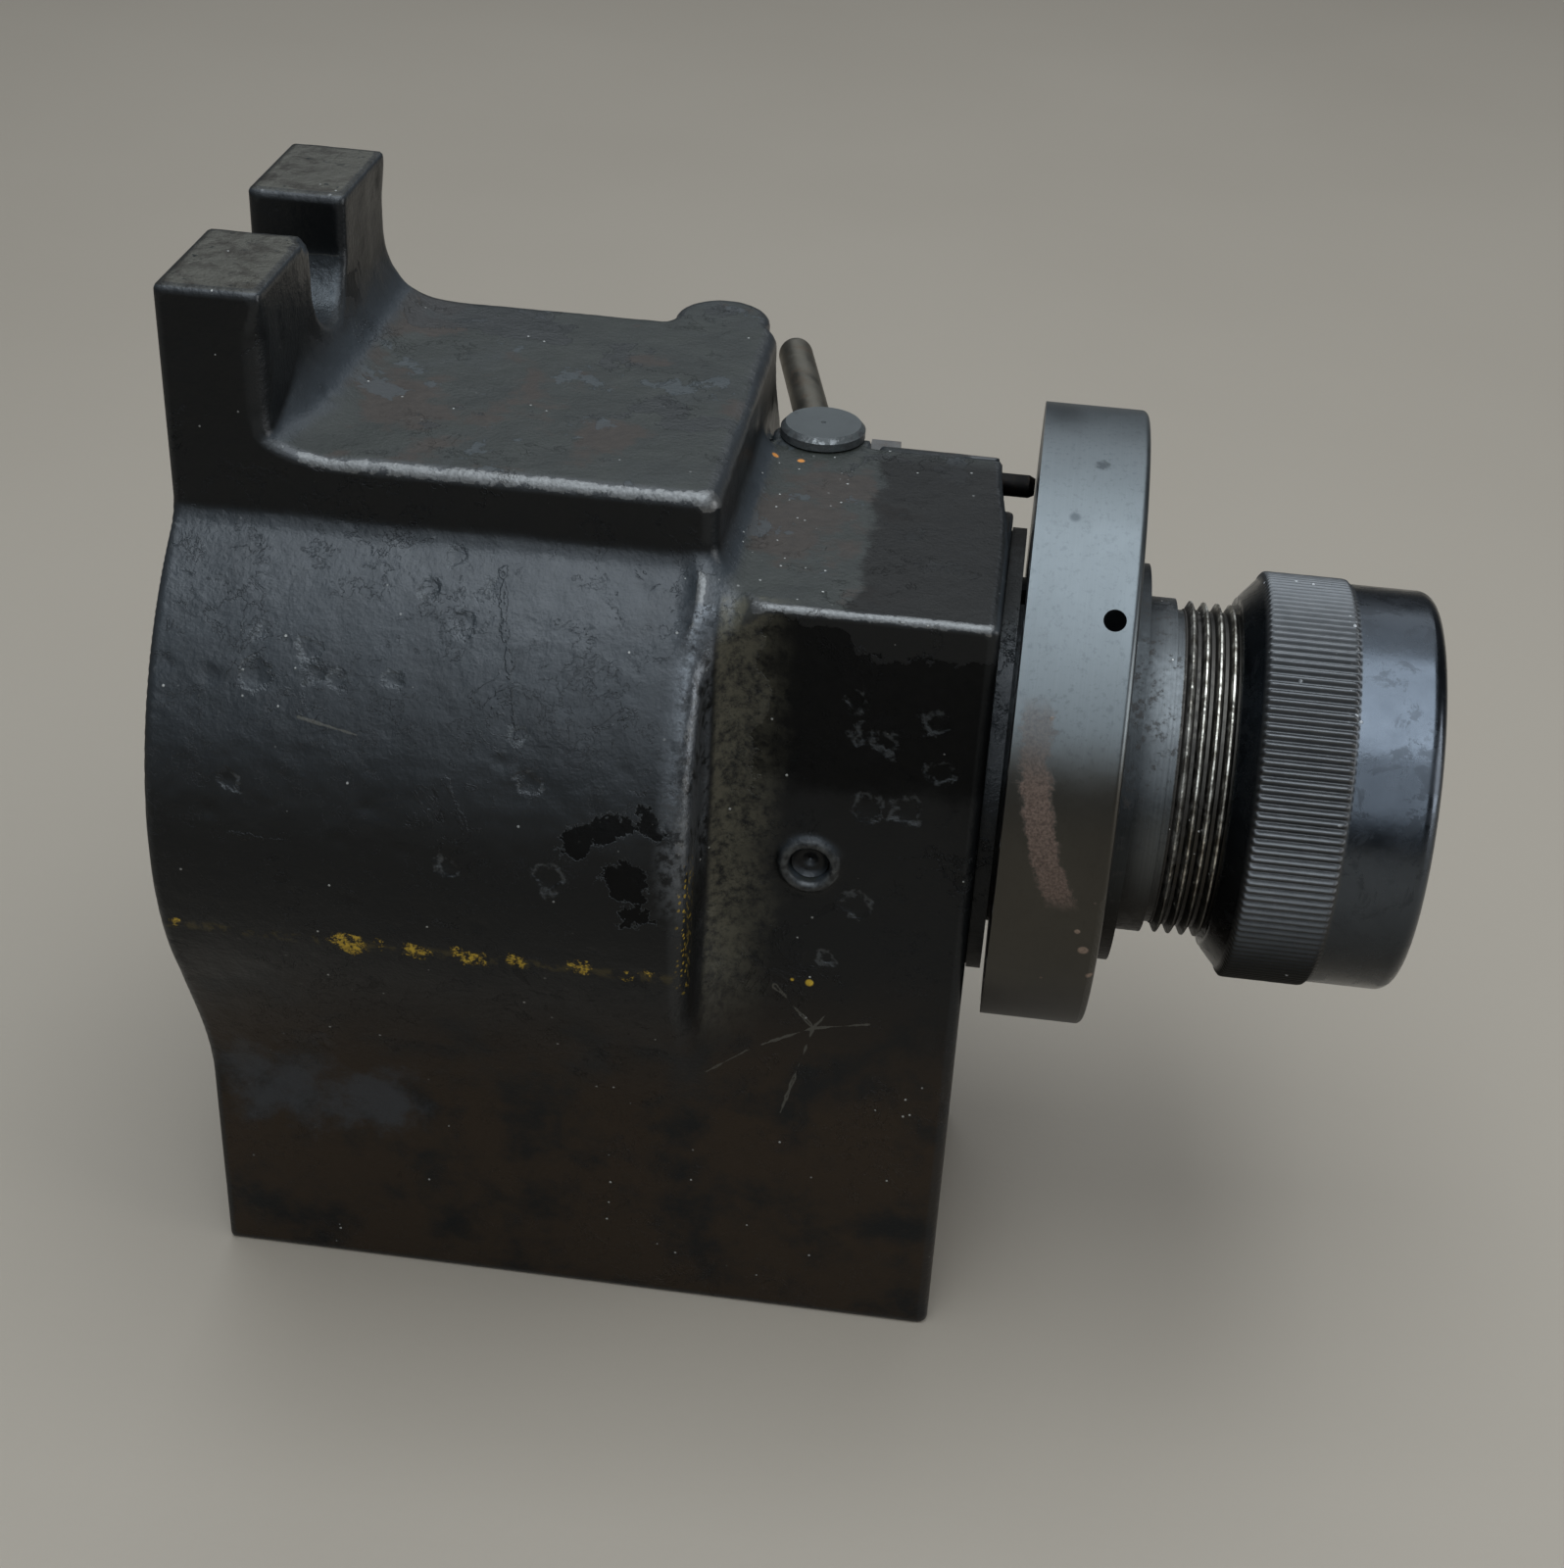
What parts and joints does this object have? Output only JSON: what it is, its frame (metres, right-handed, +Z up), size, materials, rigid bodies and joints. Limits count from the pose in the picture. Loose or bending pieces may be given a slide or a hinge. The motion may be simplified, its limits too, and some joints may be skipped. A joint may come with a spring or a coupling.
{
  "type": "collet index fixture",
  "caption": "Bench fixture with a cast housing, hollow threaded spindle, off-centre index plate, knurled nose cap and a lever-worked index plunger.",
  "frame": {"origin": "on the base's underside, directly below the spindle axis at mid length of the casting", "axes": "+X along the spindle towards the nose, +Y to the rear where the lever's handle stands out, +Z up"},
  "size_m": [0.1952, 0.1222, 0.1768],
  "materials": {
    "black_paint": "semi-gloss black enamel over grey iron casting, worn edges",
    "dark_steel": "dark turned steel",
    "seal_rubber": "black nitrile",
    "bearing_steel": "ground bearing steel",
    "oiled_steel": "oil-darkened turned steel",
    "ground_steel": "satin ground steel with rust stain",
    "black_oxide": "glossy black oxide",
    "painted_steel": "worn grey paint",
    "brown_steel": "bare browned steel"
  },
  "bodies": {
    "housing": {"housing": "black_paint", "front_retainer": "black_paint", "rear_retainer": "dark_steel", "front_seal": "seal_rubber", "rear_seal": "seal_rubber", "front_outer_race": "bearing_steel", "rear_outer_race": "bearing_steel", "outer_spacer": "dark_steel", "plunger_bushing": "bearing_steel", "side_plug": "black_paint"},
    "spindle": {"spindle": "oiled_steel", "front_inner_race": "bearing_steel", "rear_inner_race": "bearing_steel", "front_balls": "bearing_steel", "rear_balls": "bearing_steel", "inner_spacer": "dark_steel", "lock_washer": "dark_steel", "lock_nut": "dark_steel", "index_plate": "ground_steel", "plate_key": "dark_steel", "plate_set_screws": "black_oxide"},
    "nose_cap": {"nose_cap": "black_oxide"},
    "plunger": {"index_plunger": "oiled_steel", "plunger_yoke": "dark_steel", "yoke_screw": "black_oxide"},
    "lever": {"lever_shaft": "painted_steel", "lever_handle": "brown_steel", "lever_clip": "black_oxide"}
  },
  "joints": [
    {"name": "spindle_turn", "type": "hinge", "parent": "housing", "child": "spindle", "pos_m": [0, 0, 0.0944], "axis": [1, 0, 0], "continuous": true},
    {"name": "cap_turn", "type": "hinge", "parent": "spindle", "child": "nose_cap", "pos_m": [0.115, 0, 0.0944], "axis": [1, 0, 0], "continuous": true},
    {"name": "lever_turn", "type": "hinge", "parent": "housing", "child": "lever", "pos_m": [0.0298, 0.0206, 0.13], "axis": [0, 0, 1], "range_deg": [-46, 0]},
    {"name": "plunger_slide", "type": "slide", "parent": "housing", "child": "plunger", "axis": [1, 0, 0], "range_m": [0, 0.0036]}
  ],
  "couplings": [
    {"joint": "plunger_slide", "follows": "lever_turn", "m_per_rad": -0.004478}
  ]
}
